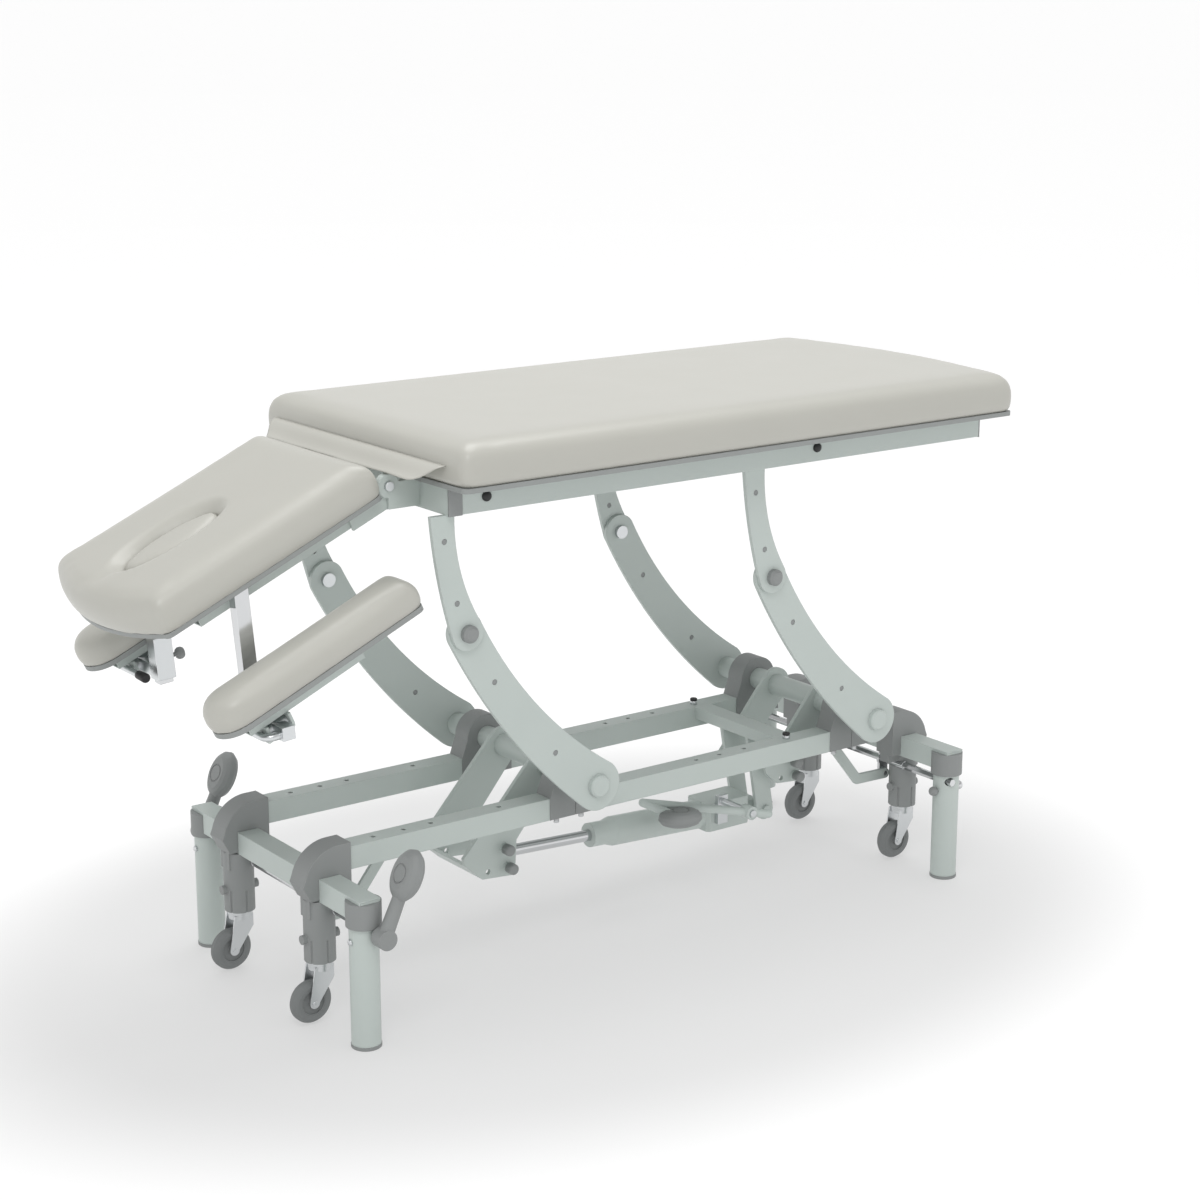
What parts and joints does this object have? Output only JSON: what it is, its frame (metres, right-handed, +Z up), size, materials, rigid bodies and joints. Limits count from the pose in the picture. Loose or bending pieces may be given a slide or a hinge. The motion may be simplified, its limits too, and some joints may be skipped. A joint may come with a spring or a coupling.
{
  "type": "treatment table",
  "caption": "Pump-lifted treatment table with a bowed foot end, tilting head section with breathing hole, low armrests and retractable castors.",
  "frame": {"origin": "on the floor, at the middle of the table's overall box", "axes": "+X to the foot end, +Y to the far side, +Z up"},
  "size_m": [1.789, 0.7, 0.9903],
  "materials": {
    "frame_paint": "satin",
    "casting_grey": "matte",
    "vinyl": "satin",
    "board_edge": "satin",
    "chrome": "gloss",
    "plated_steel": "satin",
    "black_rubber": "matte",
    "grey_tyre": "matte"
  },
  "bodies": {
    "base": {"head_cross_tube": "frame_paint", "foot_cross_tube": "frame_paint", "side_rails": "frame_paint", "legs": "frame_paint", "leg_collars": "casting_grey", "leg_rings": "casting_grey", "castor_housings": "casting_grey", "pivot_blocks": "casting_grey", "cylinder_bracket": "frame_paint"},
    "levelling_foot_body": {"levelling_foot": "black_rubber"},
    "head_castor_shaft": {"head_castor_rod": "chrome", "castor_pedals": "casting_grey"},
    "foot_castor_shaft": {"foot_castor_rod": "chrome"},
    "castor_link_body": {"castor_link": "frame_paint"},
    "castor_stem_set": {"castor_stems": "plated_steel"},
    "head_lift": {"head_torque_tube": "frame_paint", "head_arm_near": "frame_paint", "head_arm_far": "frame_paint", "head_levers": "frame_paint"},
    "foot_lift": {"foot_torque_tube": "frame_paint", "foot_arm_near": "frame_paint", "foot_arm_far": "frame_paint", "foot_levers": "frame_paint"},
    "cylinder_body": {"lift_cylinder": "frame_paint", "pump_pin": "plated_steel"},
    "piston_body": {"piston_rod": "chrome"},
    "pump_pedal_body": {"pump_pedal_bar": "frame_paint", "pump_pedal_pad": "casting_grey"},
    "upper_frame": {"upper_rails": "frame_paint", "upper_head_tube": "frame_paint", "upper_foot_tube": "frame_paint", "rail_end_caps": "casting_grey", "upper_plates": "frame_paint", "pivot_bolts": "plated_steel", "pivot_caps": "casting_grey", "hinge_brackets": "frame_paint", "main_board": "board_edge", "main_cushion": "vinyl", "gap_flap": "vinyl"},
    "head_section": {"head_frame": "frame_paint", "hinge_pins": "plated_steel", "armrest_posts": "chrome", "head_board": "board_edge", "head_cushion": "vinyl"},
    "face_plug_body": {"face_plug": "vinyl"},
    "carrier_near": {"armrest_carrier_near": "plated_steel"},
    "armrest_near": {"armrest_bracket_near": "frame_paint", "armrest_pad_near": "vinyl"},
    "carrier_far": {"armrest_carrier_far": "plated_steel"},
    "armrest_far": {"armrest_bracket_far": "frame_paint", "armrest_pad_far": "vinyl"},
    "fork_head_near": {"castor_fork_head_near": "plated_steel"},
    "wheel_head_near": {"castor_wheel_head_near": "grey_tyre"},
    "fork_head_far": {"castor_fork_head_far": "plated_steel"},
    "wheel_head_far": {"castor_wheel_head_far": "grey_tyre"},
    "fork_foot_near": {"castor_fork_foot_near": "plated_steel"},
    "wheel_foot_near": {"castor_wheel_foot_near": "grey_tyre"},
    "fork_foot_far": {"castor_fork_foot_far": "plated_steel"},
    "wheel_foot_far": {"castor_wheel_foot_far": "grey_tyre"}
  },
  "joints": [
    {"name": "lift", "type": "hinge", "parent": "base", "child": "head_lift", "pos_m": [-0.05249, 0, 0.337], "axis": [0, 1, 0], "range_deg": [-62, 3]},
    {"name": "foot_lift_turn", "type": "hinge", "parent": "base", "child": "foot_lift", "pos_m": [0.60551, 0, 0.337], "axis": [0, 1, 0], "range_deg": [-62, 3]},
    {"name": "upper_level", "type": "hinge", "parent": "head_lift", "child": "upper_frame", "pos_m": [-0.32429, 0, 0.6573], "axis": [0, 1, 0], "range_deg": [-3, 62]},
    {"name": "head_tilt", "type": "hinge", "parent": "upper_frame", "child": "head_section", "pos_m": [-0.42549, 0, 0.905], "axis": [0, 1, 0], "range_deg": [-6, 46], "deforming": ["gap_flap"]},
    {"name": "plug_lift", "type": "slide", "parent": "head_section", "child": "face_plug_body", "axis": [-0.4051, 0, 0.9143], "range_m": [0, 0.06]},
    {"name": "armrest_height_near", "type": "slide", "parent": "head_section", "child": "carrier_near", "axis": [-0.0906, 0, 0.9959], "range_m": [0, 0.08]},
    {"name": "armrest_roll_near", "type": "hinge", "parent": "carrier_near", "child": "armrest_near", "pos_m": [-0.68493, -0.235, 0.56362], "axis": [-0.9143, 0, -0.4051], "range_deg": [-8, 8]},
    {"name": "armrest_height_far", "type": "slide", "parent": "head_section", "child": "carrier_far", "axis": [-0.0906, 0, 0.9959], "range_m": [0, 0.08]},
    {"name": "armrest_roll_far", "type": "hinge", "parent": "carrier_far", "child": "armrest_far", "pos_m": [-0.68493, 0.235, 0.56362], "axis": [-0.9143, 0, -0.4051], "range_deg": [-8, 8]},
    {"name": "cylinder_swing", "type": "hinge", "parent": "base", "child": "cylinder_body", "pos_m": [0.49151, 0, 0.1265], "axis": [0, 1, 0], "range_deg": [-1, 5]},
    {"name": "piston_stroke", "type": "slide", "parent": "cylinder_body", "child": "piston_body", "axis": [-0.9988, 0, 0.0499], "range_m": [-0.21, 0.012]},
    {"name": "pump_pedal_press", "type": "hinge", "parent": "cylinder_body", "child": "pump_pedal_body", "pos_m": [0.38351, 0, 0.166], "axis": [0, 1, 0], "range_deg": [-12, 0], "stiffness_Nm_per_rad": 30},
    {"name": "castor_pedal", "type": "hinge", "parent": "base", "child": "head_castor_shaft", "pos_m": [-0.54549, 0, 0.2], "axis": [0, 1, 0], "range_deg": [0, 50]},
    {"name": "foot_rod_turn", "type": "hinge", "parent": "base", "child": "foot_castor_shaft", "pos_m": [0.74451, 0, 0.2], "axis": [0, 1, 0], "range_deg": [0, 50]},
    {"name": "link_swing", "type": "hinge", "parent": "head_castor_shaft", "child": "castor_link_body", "pos_m": [-0.54549, 0, 0.17], "axis": [0, 1, 0], "range_deg": [-50, 0]},
    {"name": "castor_drop", "type": "slide", "parent": "base", "child": "castor_stem_set", "axis": [0, 0, -1], "range_m": [0, 0.012]},
    {"name": "levelling_screw", "type": "slide", "parent": "base", "child": "levelling_foot_body", "axis": [0, 0, 1], "range_m": [0, 0.012]},
    {"name": "swivel_head_near", "type": "hinge", "parent": "castor_stem_set", "child": "fork_head_near", "pos_m": [-0.56549, -0.141, 0.1037], "axis": [0, 0, 1], "continuous": true},
    {"name": "roll_head_near", "type": "hinge", "parent": "fork_head_near", "child": "wheel_head_near", "pos_m": [-0.58649, -0.141, 0.0405], "axis": [0, 1, 0], "continuous": true},
    {"name": "swivel_head_far", "type": "hinge", "parent": "castor_stem_set", "child": "fork_head_far", "pos_m": [-0.56549, 0.141, 0.1037], "axis": [0, 0, 1], "continuous": true},
    {"name": "roll_head_far", "type": "hinge", "parent": "fork_head_far", "child": "wheel_head_far", "pos_m": [-0.58649, 0.141, 0.0405], "axis": [0, 1, 0], "continuous": true},
    {"name": "swivel_foot_near", "type": "hinge", "parent": "castor_stem_set", "child": "fork_foot_near", "pos_m": [0.76451, -0.141, 0.1037], "axis": [0, 0, 1], "continuous": true},
    {"name": "roll_foot_near", "type": "hinge", "parent": "fork_foot_near", "child": "wheel_foot_near", "pos_m": [0.74351, -0.141, 0.0405], "axis": [0, 1, 0], "continuous": true},
    {"name": "swivel_foot_far", "type": "hinge", "parent": "castor_stem_set", "child": "fork_foot_far", "pos_m": [0.76451, 0.141, 0.1037], "axis": [0, 0, 1], "continuous": true},
    {"name": "roll_foot_far", "type": "hinge", "parent": "fork_foot_far", "child": "wheel_foot_far", "pos_m": [0.74351, 0.141, 0.0405], "axis": [0, 1, 0], "continuous": true}
  ],
  "couplings": [
    {"joint": "foot_lift_turn", "follows": "lift", "ratio": 1},
    {"joint": "upper_level", "follows": "lift", "ratio": -1},
    {"joint": "cylinder_swing", "follows": "lift", "ratio": -0.062857},
    {"joint": "piston_stroke", "follows": "lift", "m_per_rad": 0.18619},
    {"joint": "foot_rod_turn", "follows": "castor_pedal", "ratio": 1},
    {"joint": "link_swing", "follows": "castor_pedal", "ratio": -1},
    {"joint": "castor_drop", "follows": "castor_pedal", "m_per_rad": 0.013751}
  ]
}
